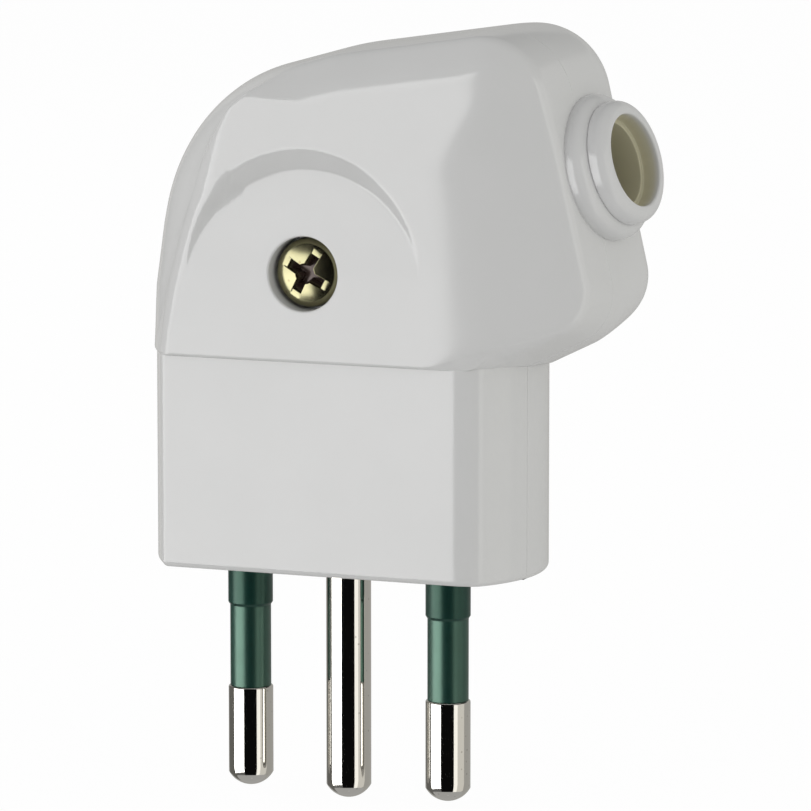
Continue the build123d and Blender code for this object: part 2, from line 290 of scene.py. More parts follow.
nickelLook = {
    "light": (0.72, 0.70, 0.655), "dark": (0.30, 0.28, 0.25), "ringScale": 1500.0, "speckScale": 1300.0,
    "speck": 0.5, "rough": (0.055, 0.09), "ring": 0.05, "ringDepth": 0.00002,
}
zincLook = {
    "light": (0.27, 0.255, 0.15), "dark": (0.20, 0.15, 0.08), "ringScale": 1200.0, "speckScale": 900.0,
    "speck": 0.6, "rough": (0.17, 0.24), "ring": 0.06, "ringDepth": 0.00002,
    # the recess colour and metal value are painted shade for the cross recess
    "recess": (0.075, 0.048, 0.040), "recessMetal": 0.25,
}
steelLook = {
    "light": (0.56, 0.56, 0.55), "dark": (0.28, 0.27, 0.25), "ringScale": 1200.0, "speckScale": 900.0,
    "speck": 0.4, "rough": (0.22, 0.34), "ring": 0.1, "ringDepth": 0.00003,
}


def boredPlastic():
    # pearly outside, with khaki painted shade where the bore runs in
    mat, tree, bsdf = mouldedPlastic("pearlBush", bushLook)
    skin = bsdf.inputs["Base Color"].links[0].from_socket
    boreShade = blendColour(tree, attributeMask(tree, "inner"), skin, bushLook["bore"])
    tree.links.new(boreShade, bsdf.inputs["Base Color"])
    return mat


def collaredPlastic():
    # the sleeve's collar is duller than its shank
    look = sleeveLook
    mat, tree, bsdf = mouldedPlastic("greenSleeve", look)
    bsdf.inputs["Specular Tint"].default_value = (*look["sheen"], 1)
    coords = tree.nodes.new("ShaderNodeTexCoord")
    split = tree.nodes.new("ShaderNodeSeparateXYZ")
    tree.links.new(coords.outputs["Object"], split.inputs[0])
    low, high = look["collarFrom"] - look["collarFade"], look["collarFrom"] + look["collarFade"]
    level = ramp(tree, split.outputs["Z"], look["shankLevel"], look["collarLevel"], low, high)
    tree.links.new(level, bsdf.inputs["Specular IOR Level"])
    return mat


def stampedZinc():
    # plated steel with painted shade that darkens it down in its recess
    mat, tree, bsdf = platedMetal("yellowZinc", zincLook)
    depth = attributeMask(tree, "recess")
    plate = bsdf.inputs["Base Color"].links[0].from_socket
    tree.links.new(blendColour(tree, depth, plate, zincLook["recess"]), bsdf.inputs["Base Color"])
    tree.links.new(ramp(tree, depth, 1.0, zincLook["recessMetal"], 0.0, 1.0), bsdf.inputs["Metallic"])
    return mat


whiteShell = mouldedPlastic("whiteShell", shellLook)[0]
pearlBush = boredPlastic()
greenSleeve = collaredPlastic()
clampPlastic = mouldedPlastic("clampPlastic", clampLook)[0]
nickelPlate = platedMetal("nickelPlate", nickelLook)[0]
yellowZinc = stampedZinc()
zincSteel = platedMetal("zincSteel", steelLook)[0]
print("materials made")


# housing, in mm: insets stand in the order left, top, right, under

housing = {
    # lower block
    "blockHeight": 18.9, "blockLeft": 17.35, "blockRight": 18.15, "blockHalfDepth": 8.3,
    "flatLeft": 14.4, "flatRight": 13.2, "cornerIn": 2.6, "cornerBack": 0.8,
    "edgeRound": 0.9, "footRound": 0.6, "footRows": 9, "wallRows": 24, "planPoints": 900,
    "bulgeCount": 60, "cornerCount": 8, "frontCount": 60, "sweepCount": 30, "rearCount": 40,
    "blockSunk": 0.3, "sunkRows": (2.4, 1.2, 0.0), "sunkSupport": 0.55, "soleRows": (0.3, 0.65, 1.0),
    # walls of the head: a place on each and the angle it faces
    "left": (-17.8, 173.8), "brow": (45.78, 105.5), "top": (46.0, 98.4),
    "right": (33.9, 13.0), "under": (19.2, -63.8),
    "rounds": (15.7, 20.0, 6.8, 5.5), "heelLimit": 1.4, "flatCorner": 3.0,
    # depth of the head, insets at its rim and from there to the flat
    "halfDepth": 8.7, "rimDrop": 1.7, "rims": (2.3, 0.5, 2.8, 1.65), "domes": (1.5, 4.0, 19.9, 2.1),
    "rearDome": 3.0, "rimSoft": 0.12, "rimLean": 8.5, "domeLean": (3.2, 13.0),
    "outletInset": 1.7, "outletBack": 3.2, "underPower": 1.3,
    # where the outline gives way: start and run, or height and slide
    "heelRest": (14.0, 3.5), "leftTurnIn": (13.0, 1.5), "slideRun": 9.0,
    "stepRound": 0.35, "overhangBack": 0.98,
    "browLift": 2.4, "browAcross": (-1.0, 5.0), "browUp": (33.0, 6.0),
    "crestSlope": 0.148, "crestUp": (39.0, 3.0),
    "leftBow": (
        (18.9, 0.1), (21.0, -0.14), (22.9, -0.37), (24.6, -0.54), (28.2, -0.52),
        (30.0, -0.5), (31.8, -0.38), (33.6, -0.27), (37.0, -0.13), (42.0, 0.0),
    ),
    "flatLeftEdge": (
        (18.9, 0.35), (21.1, 0.15), (22.9, 0.21), (24.7, 0.15), (26.5, 0.04),
        (28.2, -0.15), (31.8, -0.18), (33.6, 0.2), (37.0, 0.1), (40.0, 0.0),
    ),
    "flatEdge": ((15.0, -0.7), (25.0, -0.5), (33.0, -0.5), (36.5, -1.0), (39.0, 0.8), (45.0, 6.4)),
    # points along the outline and rows over the depth
    "runCounts": (42, 10, 44, 48), "turnCounts": (52, 14, 34, 28), "underCount": 26, "bottomCount": 78,
    "leftCrowd": 1.6, "frontRows": 18, "rearRows": 28, "rimRows": 12, "domeRows": 26,
    "flatRows": 10, "hollowRows": 42, "floorRows": 22, "rearRings": (0.75, 0.5, 0.25, 0.02),
    # parting between the covers
    "partingY": -2.5, "groove": 0.045, "lip": 1.6,
    "edgeBevel": 0.05, "bevelFrom": 50.0, "sharpFrom": 40.0,
    # thumb hollow and the screw's bore in it
    "hollowRadius": 10.9, "hollowDepth": 1.48, "hollowStart": 1.5, "hollowSlope": 58.0, "hollowSoft": 0.06,
    "hollowMargin": 1.6, "hollowFine": 2.9, "hollowGap": 0.2, "hollowZone": 1.2,
    "screwX": -0.7, "screwZ": 26.7, "boreD": 6.5, "boreDepth": 3.2, "boreRoll": 0.16, "boreFloor": 0.4,
    "rollRows": 10, "wellRows": 4,
    # cord outlet
    "outlet": (24.5, 36.3), "outletLift": 15.0, "outletCut": 5.4, "outletReach": 9.0,
}


def wallCorners(insets, leans):
    # corners between the moved and leaned walls, from the shoulder round to the left foot
    h = housing
    base = h["blockHeight"]
    walls = [
        (h["left"][0], base, h["left"][1]), (0.0, *h["brow"]), (0.0, *h["top"]),
        (h["right"][0], 0.0, h["right"][1]), (h["under"][0], base, h["under"][1]), (0.0, base, -90.0),
    ]
    lines = []
    for (x, z, angle), inset, lean in zip(walls, insets, leans):
        nx, nz = math.cos(math.radians(angle - lean)), math.sin(math.radians(angle - lean))
        lines.append((nx, nz, nx * x + nz * z - inset))
    corners = []
    for (ax, az, ad), (bx, bz, bd) in zip(lines, lines[1:] + lines[:1]):
        turn = ax * bz - bx * az
        corners.append(np.array([(ad * bz - bd * az) / turn, (ax * bd - bx * ad) / turn]))
    return corners


def fade(values, start, run):
    # 0 before the start, 1 after the run
    return np.clip((values - start) / run, 0, 1)


def byHeight(table, z):
    return np.interp(z, *zip(*housing[table]))


def edgeTurn(z):
    # how far the head's lower edge has turned in at a height
    low = np.clip(1 - (z - housing["blockHeight"]) / housing["stepRound"], 0, 1)
    return housing["stepRound"] * (1 - np.sqrt(1 - low ** 2))


def yieldOutline(ring, share):
    # left wall, flat edges and brow give way from the plain walls
    h = housing
    x, z = ring.T.copy()
    x += edgeTurn(z) * fade(-x, *h["leftTurnIn"])
    slide = share * byHeight("flatEdge", z) * fade(x, 0.0, h["slideRun"])
    leftSlide = byHeight("leftBow", z) + share * byHeight("flatLeftEdge", z)
    slide = slide + leftSlide * fade(-x, 0.0, h["slideRun"])
    browX, browRun = h["browAcross"]
    lift = share * h["browLift"] * fade(-x, -browX, browRun) * fade(z, *h["browUp"])
    lift = lift + slide * h["crestSlope"] * fade(z, *h["crestUp"]) * (x > 0)
    return np.column_stack([x + slide, z + lift])


def headRing(left, top, right, under, leanLeft, leanRight, share):
    # closed outline of the head at one depth, same point count every time
    h = housing
    insets, leans = (left, top, top, right, under, 0.0), (leanLeft, 0.0, 0.0, leanRight, 0.0, 0.0)
    shoulder, brow, crest, heel, underEnd, leftEnd = wallCorners(insets, leans)
    shoulderRound, browRound, crestRound, heelRound = h["rounds"]
    shoulderRound = max(shoulderRound - min(left, top), 1.0)
    shoulderRound += (h["flatCorner"] - shoulderRound) * share
    heelRound = max(heelRound - min(right, under), 1.0)
    heelRound = min(heelRound, h["heelLimit"] * np.linalg.norm(underEnd - heel))
    radii = (shoulderRound, browRound - top, max(crestRound - min(top, right), 1.0), heelRound)
    corners = [leftEnd, shoulder, brow, crest, heel, underEnd]
    turns = zip(corners, corners[1:], corners[2:], radii, h["runCounts"], h["turnCounts"])
    out = []
    start = leftEnd
    crowd = h["leftCrowd"]  # points gather at the left wall's lower edge
    for before, corner, after, radius, runCount, turnCount in turns:
        bend = cubicRound(before, corner, after, radius, turnCount)
        t = np.linspace(0, 1, runCount, endpoint=False)[:, None] ** crowd
        out += [start + (bend[0] - start) * t, bend[:-1]]
        start = bend[-1]
        crowd = 1.0
    # the underside comes down to rest on the block's corner
    t = np.linspace(0, 1, h["underCount"], endpoint=False)[:, None]
    underRun = start + (underEnd - start) * t
    rest = fade(underRun[:, 0], *h["heelRest"])
    rest = 1 - (1 - rest ** 2 * (3 - 2 * rest)) * fade(start[0], *h["heelRest"])
    underRun[:, 1] = h["blockHeight"] + (underRun[:, 1] - h["blockHeight"]) * rest
    t = np.linspace(0, 1, h["bottomCount"], endpoint=False)[:, None]
    bottomRun = underEnd + (leftEnd - underEnd) * t
    return yieldOutline(np.concatenate([*out, underRun, bottomRun]), share)


def headStations(side):
    # depth, insets, leans and share of the flat, from the parting plane out to the flat
    h = housing
    soft, part = h["rimSoft"], h["partingY"]
    rimY = h["halfDepth"] - h["rimDrop"]
    rims = np.array([*h["rims"], h["rimLean"], 0.0, 0.0])
    domes = np.array([h["rearDome"]] * 4 + [0.0] * 3)
    if side < 0:
        domes = np.array([*h["domes"], *h["domeLean"], 1.0])
    outletTurn = (rims[2] - h["outletInset"]) / rimY
    outletCurl = 2 * outletTurn * rimY / (rimY - h["outletBack"]) ** 2

    def wallAt(y):
        # swollen walls, but the outlet wall is nearly plane and turned a little to the front
        row = (y / rimY) ** 2 * rims
        row[3] = rims[3] * abs(y / rimY) ** h["underPower"]
        row[2] = h["outletInset"] - outletTurn * y + outletCurl * max(y - h["outletBack"], 0.0) ** 2
        return (y, *row)

    def domeAt(s):
        return np.array([side * (rimY + h["rimDrop"] * (1 - (1 - s) ** 2)), *(rims + s * domes)])

    inward = np.array([1.0] * 4 + [0.0] * 3)
    rows = [(part, *(np.array(wallAt(part)[1:]) + h[step] * inward)) for step in ("lip", "groove")]
    rowCount = h["frontRows"] if side < 0 else h["rearRows"]
    edgeY = side * rimY * (1 - soft)
    rows += [wallAt(y) for y in np.linspace(part + side * h["groove"], edgeY, rowCount)]
    edge, rim, rise = np.array(wallAt(edgeY)), np.array([side * rimY, *rims]), domeAt(soft)
    for t in np.linspace(0, 1, h["rimRows"])[1:]:
        rows.append(tuple((1 - t) ** 2 * edge + 2 * t * (1 - t) * rim + t * t * rise))
    for s in soft + (1 - soft) * np.linspace(0, 1, h["domeRows"])[1:]:
        rows.append(tuple(domeAt(s)))
    return rows


def softMin(one, two, width):
    gap = np.clip(0.5 + 0.5 * (two - one) / width, 0, 1)
    return two * (1 - gap) + one * gap - width * gap * (1 - gap)


def hollowDip(x, z):
    # shallow curved floor inside a coned edge, fading out level with the screw
    h = housing
    up = np.maximum(z - h["screwZ"], 0)
    slope = h["hollowDepth"] / (np.hypot(h["hollowRadius"], h["hollowStart"]) - h["hollowStart"])
    floor = slope * (np.hypot(up, h["hollowStart"]) - h["hollowStart"])
    reach = np.hypot(x - h["screwX"], z - h["screwZ"])
    cone = (h["hollowRadius"] - reach) / math.tan(math.radians(h["hollowSlope"]))
    soft = np.minimum(2 * h["hollowSoft"], 0.6 * floor) + 1e-6
    dip = softMin(floor, cone, soft)
    return np.where(up > 0, -softMin(-dip, np.zeros_like(dip), soft), 0)


def atDepth(outline, y):
    # outline points in x and z, set at a depth
    return np.column_stack([outline[:, 0], np.full(len(outline), y), outline[:, 1]])


def frontFace(rings):
    # from the edge of the flat over the hollow and down the screw's bore
    h = housing
    last = rings[-1]
    flatY = last[0, 1]
    centre = np.array([h["screwX"], h["screwZ"]])
    away = last[:, [0, 2]] - centre
    reach = np.hypot(away[:, 0], away[:, 1])
    ray = away / reach[:, None]
    bore, roll = h["boreD"] / 2, h["boreRoll"]
    mouth = bore + roll
    outer, inner = h["hollowRadius"] + h["hollowMargin"], h["hollowRadius"] - h["hollowFine"]
    near = np.minimum(reach, outer)
    squeeze = (near - mouth) / (outer - mouth)
    reaches = [reach + (near - reach) * t for t in np.linspace(0, 1, h["flatRows"])[1:-1]]
    edgeRadii = np.linspace(outer, inner, h["hollowRows"])
    floorRadii = np.linspace(inner - h["hollowGap"], mouth, h["floorRows"])
    reaches += [mouth + (radius - mouth) * squeeze for radius in (*edgeRadii, *floorRadii)]
    rings += [atDepth(centre + ray * r[:, None], flatY) for r in reaches]
    for ring in rings:
        front = np.abs(ring[:, 1] + h["halfDepth"]) < h["hollowZone"]
        ring[front, 1] += hollowDip(ring[front, 0], ring[front, 2])
    rimY = rings[-1][:, 1]
    for a in np.linspace(0, math.pi / 2, h["rollRows"])[1:]:
        rollY = rimY + roll * (1 - math.cos(a))
        rings.append(atDepth(centre + ray * (bore + roll * (1 - math.sin(a))), rollY))
    floorY = h["boreDepth"] - h["halfDepth"]
    for down in np.linspace(0, 1, h["wellRows"] + 1)[1:]:
        rings.append(atDepth(centre + ray * bore, rimY + roll + (floorY - rimY - roll) * down))
    rings.append(atDepth(centre + ray * h["boreFloor"], floorY))
    for ring in rings:
        # the lower edge is rounded where it overhangs the block
        limit = h["halfDepth"] - edgeTurn(ring[:, 2])
        ring[:, 1] += h["overhangBack"] * np.maximum(-ring[:, 1] - limit, 0)


def headSkin(side):
    rings = [atDepth(headRing(*insets), y) for y, *insets in headStations(side)]
    if side < 0:
        frontFace(rings)
    else:
        last = rings[-1]
        centre = last.mean(axis=0)
        rings += [centre + (last - centre) * t for t in housing["rearRings"]]
    verts = np.concatenate(rings)
    count = len(rings[0])
    pole = tuple(range(len(verts) - count, len(verts)))
    return verts, gridFaces(len(rings), count, True) + [pole]


def blockPlan():
    # closed plan of the lower block, from the left parting round the front
    h = housing
    leftX, rightX = h["cornerIn"] - h["blockLeft"], h["blockRight"] - h["cornerIn"]
    endY, depth = h["blockHalfDepth"] - h["cornerBack"], h["blockHalfDepth"]
    flatLeft, flatRight = h["flatLeft"], h["flatRight"]

    def bulge(x, tip, y0, y1):
        half, rise = abs(y1 - y0) / 2, tip - x
        radius = (half ** 2 + rise ** 2) / (2 * abs(rise))
        ys = np.linspace(y0, y1, h["bulgeCount"])
        xs = tip - math.copysign(radius, rise) + np.sign(rise) * np.sqrt(radius ** 2 - ys ** 2)
        return np.column_stack([xs, ys])

    run, drop = rightX - flatRight, depth - endY
    sweepRadius = (run ** 2 + drop ** 2) / (2 * drop)
    xs = np.linspace(flatRight, rightX, h["sweepCount"])
    sweep = np.column_stack([xs, -depth + sweepRadius - np.sqrt(sweepRadius ** 2 - (xs - flatRight) ** 2)])
    pieces = [
        bulge(leftX, -h["blockLeft"], endY, -endY),
        np.linspace((leftX, -endY), (-flatLeft, -depth), h["cornerCount"]),
        np.linspace((-flatLeft, -depth), (flatRight, -depth), h["frontCount"]),
        sweep,
        bulge(rightX, h["blockRight"], -endY, endY),
        np.linspace((rightX, endY), (flatLeft, depth), h["cornerCount"]),
        np.linspace((flatLeft, depth), (-flatLeft, depth), h["rearCount"]),
        np.linspace((-flatLeft, depth), (leftX, endY), h["cornerCount"]),
    ]
    return np.concatenate([piece[1:] for piece in pieces])


def softenPlan(plan, radius):
    # rounds the plan's corners by sliding a window along it
    count = housing["planPoints"]
    closed = np.concatenate([plan, plan[:1]])
    along = np.concatenate([[0], np.cumsum(np.hypot(*np.diff(closed, axis=0).T))])
    total = along[-1]
    places = np.linspace(0, total, count, endpoint=False)
    fine = np.column_stack([np.interp(places, along, closed[:, k]) for k in (0, 1)])
    width = max(3, int(radius / (total / count)))
    kernel = np.hanning(width * 2 + 1)
    kernel /= kernel.sum()
    padded = np.concatenate([fine[-width:], fine, fine[:width]])
    return np.column_stack([np.convolve(padded[:, k], kernel, "valid") for k in (0, 1)])


def blockSkin(side):
    h = housing
    part, foot, top = h["partingY"], h["footRound"], h["blockHeight"] + h["blockSunk"]
    plan = softenPlan(blockPlan(), h["edgeRound"])
    tangent = np.roll(plan, -1, axis=0) - np.roll(plan, 1, axis=0)
    tangent /= np.linalg.norm(tangent, axis=1)[:, None]
    inward = np.column_stack([-tangent[:, 1], tangent[:, 0]])
    if ((plan + inward * 0.5) ** 2).sum() > (plan ** 2).sum():
        inward = -inward
    # this cover's share of the plan, with a groove and a lip at both ends
    keep = side * (plan[:, 1] - part) > h["groove"]
    first = next(i for i in range(len(plan)) if keep[i] and not keep[i - 1])
    order = [(first + k) % len(plan) for k in range(int(keep.sum()))]
    line, lean = plan[order], inward[order]
    ends, turns = [], []
    for k in (0, -1):
        flat = np.array([math.copysign(1, lean[k][0]), 0])
        corner = np.array([line[k][0], part])
        ends.append([corner + flat * h["lip"], corner + flat * h["groove"]])
        turns.append([flat, flat])
    line = np.concatenate([ends[0], line, ends[1][::-1]])
    lean = np.concatenate([turns[0], lean, turns[1]])
    levels = [(top, inset) for inset in h["sunkRows"]]
    levels += [(z, 0.0) for z in np.linspace(top - h["sunkSupport"], foot, h["wallRows"])]
    for a in np.linspace(0, math.pi / 2, h["footRows"])[1:]:
        levels.append((foot * (1 - math.sin(a)), foot * (1 - math.cos(a))))
    rows = [np.column_stack([line + lean * inset, np.full(len(line), z)]) for z, inset in levels]
    sole = rows[-1]
    for t in h["soleRows"]:
        row = sole.copy()
        row[:, 1] += (part - row[:, 1]) * t
        rows.append(row)
    faces = gridFaces(len(rows), len(line), False)
    return np.concatenate(rows), faces if side < 0 else [face[::-1] for face in faces]


def coverShell(name, side):
    headVerts, headFaces = headSkin(side)
    blockVerts, blockFaces = blockSkin(side)
    verts = np.concatenate([headVerts, blockVerts]) * mm
    faces = headFaces + [tuple(i + len(headVerts) for i in face) for face in blockFaces]
    mesh = meshFrom(name, verts, faces)
    bm = bmesh.new()
    bm.from_mesh(mesh)
    # opening for the bush
    lift = math.radians(housing["outletLift"])
    axis = Vector((math.cos(lift), 0, math.sin(lift)))
    base = Vector((housing["outlet"][0], 0, housing["outlet"][1])) * mm
    gone = []
    for face in bm.faces:
        away = face.calc_center_median() - base
        along = away.dot(axis)
        beside = (away - axis * along).length
        if abs(along) < housing["outletReach"] * mm and beside < housing["outletCut"] * mm:
            gone.append(face)
    bmesh.ops.delete(bm, geom=gone, context="FACES")
    bmesh.ops.remove_doubles(bm, verts=bm.verts, dist=0.000002)
    bm.normal_update()

    def outness(face):
        # furthest out, and the larger of two that lie level
        return side * face.calc_center_median().y * 1000 + 0.001 * face.calc_area()

    if max(bm.faces, key=outness).normal.y * side < 0:
        bmesh.ops.reverse_faces(bm, faces=bm.faces)
    bm.to_mesh(mesh)
    bm.free()
    shadeSmooth(mesh)
    obj = newObject(name, mesh)
    bevel = obj.modifiers.new("edges", "BEVEL")
    bevel.width = housing["edgeBevel"] * mm
    bevel.segments = 3
    bevel.limit_method = "ANGLE"
    bevel.angle_limit = math.radians(housing["bevelFrom"])
    bevel.use_clamp_overlap = True
    settle(obj)
    obj.data.set_sharp_from_angle(angle=math.radians(housing["sharpFrom"]))
    return obj


frontShell = coverShell("frontShell", -1)
finishPiece(frontShell, whiteShell, "white_shell", "front_cover")
rearShell = coverShell("rearShell", 1)
finishPiece(rearShell, whiteShell, "white_shell", "rear_cover")
print("housing shells:", len(frontShell.data.polygons), len(rearShell.data.polygons), "faces")


# turned pieces: one lathe tree for pins, sleeves and bush

def latheTree():
    tree = bpy.data.node_groups.new("turnedRow", "GeometryNodeTree")
    face = tree.interface
    face.new_socket("Geometry", in_out="INPUT", socket_type="NodeSocketGeometry")
    for label, kind, value in (
        ("Segments", "NodeSocketInt", 128),
        ("Rail", "NodeSocketFloat", 0.02),
        ("Copies", "NodeSocketInt", 1),
        ("Pitch", "NodeSocketFloat", 0.0),
        ("Tilt", "NodeSocketFloat", 0.0),
        ("Lean", "NodeSocketFloat", 0.0),
        ("Place", "NodeSocketVector", (0, 0, 0)),
        ("Finish", "NodeSocketMaterial", None),
    ):
        sock = face.new_socket(label, in_out="INPUT", socket_type=kind)
        if value is not None:
            sock.default_value = value
    face.new_socket("Geometry", in_out="OUTPUT", socket_type="NodeSocketGeometry")
    add, link = tree.nodes.new, tree.links.new
    gin, gout = add("NodeGroupInput"), add("NodeGroupOutput")
    # the profile stands on a circle and is pulled back by its radius
    profile = add("GeometryNodeMeshToCurve")
    shift = add("GeometryNodeTransform")
    back = add("ShaderNodeMath")
    back.operation = "MULTIPLY"
    back.inputs[1].default_value = -1.0
    offset = add("ShaderNodeCombineXYZ")
    rail = add("GeometryNodeCurvePrimitiveCircle")
    normals = add("GeometryNodeSetCurveNormal")
    normals.mode = "Z_UP"
    lathe = add("GeometryNodeCurveToMesh")
    turn = add("ShaderNodeCombineXYZ")
    tilt = add("GeometryNodeTransform")
    line = add("GeometryNodeMeshLine")
    step = add("ShaderNodeCombineXYZ")
    spread = add("GeometryNodeInstanceOnPoints")
    real = add("GeometryNodeRealizeInstances")
    smooth = add("GeometryNodeSetShadeSmooth")
    finish = add("GeometryNodeSetMaterial")
    link(gin.outputs["Geometry"], profile.inputs["Mesh"])
    link(gin.outputs["Rail"], back.inputs[0])
    link(back.outputs[0], offset.inputs["X"])
    link(profile.outputs["Curve"], shift.inputs["Geometry"])
    link(offset.outputs["Vector"], shift.inputs["Translation"])
    link(gin.outputs["Segments"], rail.inputs["Resolution"])
    link(gin.outputs["Rail"], rail.inputs["Radius"])
    link(rail.outputs["Curve"], normals.inputs["Curve"])
    link(normals.outputs["Curve"], lathe.inputs["Curve"])
    link(shift.outputs["Geometry"], lathe.inputs["Profile Curve"])
    link(gin.outputs["Tilt"], turn.inputs["Y"])
    link(gin.outputs["Lean"], turn.inputs["Z"])
    link(lathe.outputs["Mesh"], tilt.inputs["Geometry"])
    link(turn.outputs["Vector"], tilt.inputs["Rotation"])
    # the row of copies
    link(gin.outputs["Copies"], line.inputs["Count"])
    link(gin.outputs["Place"], line.inputs["Start Location"])
    link(gin.outputs["Pitch"], step.inputs["X"])
    link(step.outputs["Vector"], line.inputs["Offset"])
    link(line.outputs["Mesh"], spread.inputs["Points"])
    link(tilt.outputs["Geometry"], spread.inputs["Instance"])
    link(spread.outputs["Instances"], real.inputs["Geometry"])
    link(real.outputs["Geometry"], smooth.inputs["Geometry"])
    link(smooth.outputs["Geometry"], finish.inputs["Geometry"])
    link(gin.outputs["Finish"], finish.inputs["Material"])
    link(finish.outputs["Geometry"], gout.inputs["Geometry"])
    return tree


turnedRow = latheTree()


def turnedPiece(name, profile, material, **values):
    # profile points are (radius, height) in mm, turned about the piece's axis
    points = [(radius * mm, -height * mm, 0.0) for radius, height in profile]
    mesh = bpy.data.meshes.new(name)
    mesh.from_pydata(points, [(i, i + 1) for i in range(len(points) - 1)], [])
    obj = newObject(name, mesh)
    mod = obj.modifiers.new("turn", "NODES")
    mod.node_group = turnedRow
    values["Finish"] = material
    for item in turnedRow.interface.items_tree:
        if item.in_out == "INPUT" and item.name in values:
            mod[item.identifier] = values[item.name]
    settle(obj)
    bm = bmesh.new()
    bm.from_mesh(obj.data)
    bmesh.ops.remove_doubles(bm, verts=bm.verts, dist=0.0000015)
    bmesh.ops.recalc_face_normals(bm, faces=bm.faces)
    bm.to_mesh(obj.data)
    bm.free()
    shadeSmooth(obj.data)
    return obj


def densify(points, step):
    out = [points[0]]
    for (ar, az), (br, bz) in zip(points, points[1:]):
        n = max(1, int(math.hypot(br - ar, bz - az) / step))
        out += [(ar + (br - ar) * k / n, az + (bz - az) * k / n) for k in range(1, n + 1)]
    return out


def softCorner(points, radii, step, steps):
    return densify([tuple(point) for point in roundedRun(points, radii, steps)], step)


# pins, bush and screw are in mm
pins = {
    "pitch": 9.5, "radius": 2.0, "reach": 20.8, "earthReach": 21.2,
    "tipHeight": 1.2, "tipRows": 16, "shoulder": 0.18,
    "coreRadius": 1.35, "sleeveReach": 11.7, "sleeveRadius": 1.83, "sleeveRounds": (0.06, 0.06, 0.12),
    "collarReach": 4.35, "collarRadius": 2.0, "collarBevel": 0.25, "intoFace": 0.3,
    "segments": 128, "step": 0.6, "steps": 7,
}


def pinTip(reach):
    # domed end, from the axis out to the shank
    radius, height = pins["radius"], pins["tipHeight"]
    ball = (radius ** 2 + height ** 2) / (2 * height)
    halfAngle = math.asin(radius / ball)
    angles = np.linspace(0.0, halfAngle, pins["tipRows"])
    return [(ball * math.sin(a), -reach + ball * (1 - math.cos(a))) for a in angles]


def livePinProfile():
    radius, core, sleeveEnd = pins["radius"], pins["coreRadius"], -pins["sleeveReach"]
    shank = [(radius, pins["tipHeight"] - pins["reach"]), (radius, sleeveEnd), (core, sleeveEnd)]
    return pinTip(pins["reach"])[:-1] + softCorner(shank, [pins["shoulder"]], pins["step"], pins["steps"])


def earthPinProfile():
    radius, reach = pins["radius"], pins["earthReach"]
    shank = [(radius, pins["tipHeight"] - reach), (radius, 0.0), (radius, pins["intoFace"])]
    return pinTip(reach)[:-1] + densify(shank, pins["step"])


def sleeveProfile():
    radius, end, collarEnd = pins["sleeveRadius"], -pins["sleeveReach"], -pins["collarReach"]
    collar = pins["collarRadius"]
    wall = [
        (pins["coreRadius"], end), (radius, end), (radius, collarEnd),
        (collar, collarEnd + pins["collarBevel"]), (collar, pins["intoFace"]),
    ]
    return softCorner(wall, pins["sleeveRounds"], pins["step"], pins["steps"])


pair = {
    "Segments": pins["segments"], "Copies": 2,
    "Pitch": 2 * pins["pitch"] * mm, "Place": (-pins["pitch"] * mm, 0, 0),
}
livePins = turnedPiece("livePins", livePinProfile(), nickelPlate, **pair)
finishPiece(livePins, nickelPlate, "nickel_pin", "line_pin", "neutral_pin")
earthPin = turnedPiece("earthPin", earthPinProfile(), nickelPlate, Segments=pins["segments"])
finishPiece(earthPin, nickelPlate, "nickel_pin", "earth_pin")
pinSleeves = turnedPiece("pinSleeves", sleeveProfile(), greenSleeve, **pair)
finishPiece(pinSleeves, greenSleeve, "green_sleeve", "line_pin_sleeve", "neutral_pin_sleeve")

bush = {
    "outer": 6.4, "out": 0.9, "bead": 1.25, "neck": 5.36, "neckWidth": 0.02,
    "mouth": 5.4, "mouthOut": 2.6, "mouthRound": 1.05, "lip": 0.2,
    "bore": 4.05, "throat": 3.65, "boreDepth": 1.7, "reach": 6.8, "lean": 8.0,
    # the bore margin and fade set where the bore's painted shade lies
    "edge": 0.1, "neckEdge": 0.01, "boreShadeMargin": 0.05, "boreShadeFade": 0.6,
    "segments": 192, "step": 0.4, "steps": 12,
}


def bushProfile():
    # from the throat's inner end over bead, neck and mouth and back down the bore
    throat, bore, outer, neck, mouth = (bush[key] for key in ("throat", "bore", "outer", "neck", "mouth"))
    end, out, mouthOut = -bush["reach"], bush["out"], bush["mouthOut"]
    neckOut, boreEnd = out + bush["neckWidth"], mouthOut - bush["boreDepth"]
    edge, neckEdge = bush["edge"], bush["neckEdge"]
    wall = [
        (throat, end), (outer, end), (outer, out), (neck, out), (neck, neckOut), (mouth, neckOut),
        (mouth, mouthOut), (bore, mouthOut), (bore, boreEnd), (throat, boreEnd), (throat, end),
    ]
    rounds = [edge, bush["bead"], neckEdge, neckEdge, edge, bush["mouthRound"], bush["lip"], edge, edge]
    return softCorner(wall, rounds, bush["step"], bush["steps"])


cordBush = turnedPiece(
    "cordBush", bushProfile(), pearlBush, Segments=bush["segments"],
    Tilt=math.radians(90 - housing["outletLift"]), Lean=-math.radians(bush["lean"]),
    Place=(housing["outlet"][0] * mm, 0, housing["outlet"][1] * mm),
)


def markBoreShade(obj):
    # how far each point lies inside the bush's mouth, for the painted shade in the bore
    lift, lean = math.radians(housing["outletLift"]), math.radians(bush["lean"])
    axis = np.array([math.cos(lift) * math.cos(lean), -math.cos(lift) * math.sin(lean), math.sin(lift)])
    base = np.array([housing["outlet"][0], 0.0, housing["outlet"][1]])
    places = np.empty(len(obj.data.vertices) * 3)
    obj.data.vertices.foreach_get("co", places)
    away = places.reshape(-1, 3) / mm - base
    along = away @ axis
    radius = np.linalg.norm(away - along[:, None] * axis, axis=1)
    depth = np.clip((bush["mouthOut"] - bush["lip"] - along) / bush["boreShadeFade"], 0, 1)
    # the inner attribute is a mask of painted shade in the bore
    layer = obj.data.attributes.new("inner", "FLOAT", "POINT")
    layer.data.foreach_set("value", (radius < bush["bore"] + bush["boreShadeMargin"]) * depth)


markBoreShade(cordBush)
finishPiece(cordBush, pearlBush, "bush_white", "cord_bush")


